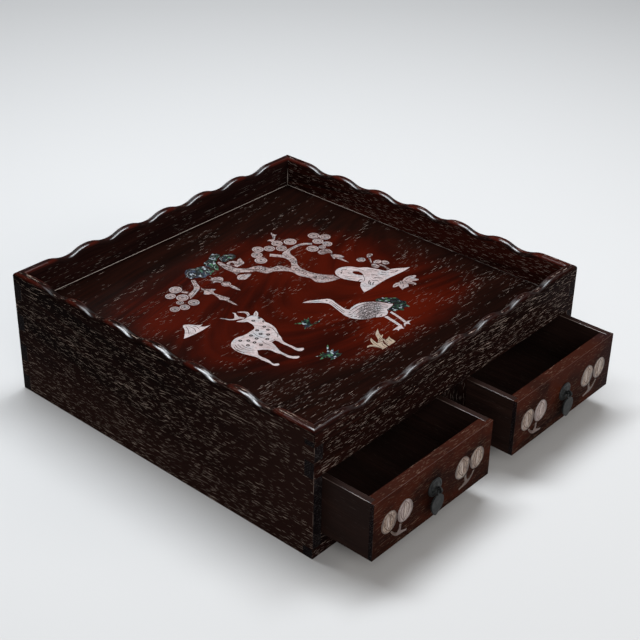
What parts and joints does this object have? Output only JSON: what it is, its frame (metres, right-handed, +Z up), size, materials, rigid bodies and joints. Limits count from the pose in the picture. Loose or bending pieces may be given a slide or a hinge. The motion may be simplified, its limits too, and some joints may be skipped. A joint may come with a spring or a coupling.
{
  "type": "tray with drawers",
  "caption": "Square hardwood tray with a scalloped rim and a shell-inlaid floor, on a finger-jointed case whose drawers slide out by hanging metal drops.",
  "frame": {"origin": "middle of the whole object as drawn, with its drawers part way out, on the surface that it stands on", "axes": "+X to the right as seen from the drawers' side, +Y away from the drawers towards the back board, +Z up"},
  "size_m": [0.36, 0.419, 0.122],
  "materials": {
    "case_rosewood": "hand-polished, half gloss",
    "tray_floor_rosewood": "hand-polished, half gloss",
    "drawer_front_rosewood": "hand-polished, half gloss",
    "drawer_box_wood": "oiled, dull",
    "inner_wood": "oiled, dull",
    "shell_rose": "polished shell",
    "shell_green": "polished shell",
    "shell_tan": "polished shell",
    "aged_brass": "blackened, worn at the edges"
  },
  "bodies": {
    "case": {"back_board": "case_rosewood", "bottom_board": "inner_wood", "centre_stile": "case_rosewood", "front_bottom_rail": "case_rosewood", "front_top_rail": "case_rosewood", "inlay_crane": "shell_rose", "inlay_crane_tail": "shell_green", "inlay_deer": "shell_rose", "inlay_green_grass": "shell_green", "inlay_hanging_sprays": "shell_rose", "inlay_leaf_spray": "shell_tan", "inlay_pine_crown": "shell_green", "inlay_pine_needles_left": "shell_rose", "inlay_pine_needles_right": "shell_rose", "inlay_pine_trunk": "shell_rose", "inlay_rock": "shell_rose", "inlay_rock_flowers": "shell_rose", "inlay_small_hill": "shell_rose", "inlay_tan_grass": "shell_tan", "left_partition": "inner_wood", "left_side_board": "case_rosewood", "right_partition": "inner_wood", "right_side_board": "case_rosewood", "tray_floor_panel": "tray_floor_rosewood"},
    "left_drawer": {"left_drawer_back": "drawer_box_wood", "left_drawer_bottom": "drawer_box_wood", "left_drawer_front": "drawer_front_rosewood", "left_drawer_inlay_left": "shell_tan", "left_drawer_inlay_right": "shell_tan", "left_drawer_left_side": "drawer_box_wood", "left_drawer_pull_plate": "aged_brass", "left_drawer_right_side": "drawer_box_wood", "left_drawer_split_pin": "aged_brass"},
    "left_pull": {"left_drawer_pull_drop": "aged_brass"},
    "right_drawer": {"right_drawer_back": "drawer_box_wood", "right_drawer_bottom": "drawer_box_wood", "right_drawer_front": "drawer_front_rosewood", "right_drawer_inlay_left": "shell_tan", "right_drawer_inlay_right": "shell_tan", "right_drawer_left_side": "drawer_box_wood", "right_drawer_pull_plate": "aged_brass", "right_drawer_right_side": "drawer_box_wood", "right_drawer_split_pin": "aged_brass"},
    "right_pull": {"right_drawer_pull_drop": "aged_brass"}
  },
  "joints": [
    {"name": "left_drawer_slide", "type": "slide", "parent": "case", "child": "left_drawer", "axis": [0, -1, 0], "range_m": [-0.051, 0.19]},
    {"name": "left_pull_swing", "type": "hinge", "parent": "left_drawer", "child": "left_pull", "pos_m": [-0.09325, -0.2065, 0.04935], "axis": [-1, 0, 0], "range_deg": [-9.5, 165]},
    {"name": "right_drawer_slide", "type": "slide", "parent": "case", "child": "right_drawer", "axis": [0, -1, 0], "range_m": [-0.051, 0.19]},
    {"name": "right_pull_swing", "type": "hinge", "parent": "right_drawer", "child": "right_pull", "pos_m": [0.09325, -0.2065, 0.04935], "axis": [-1, 0, 0], "range_deg": [-9.5, 165]}
  ]
}
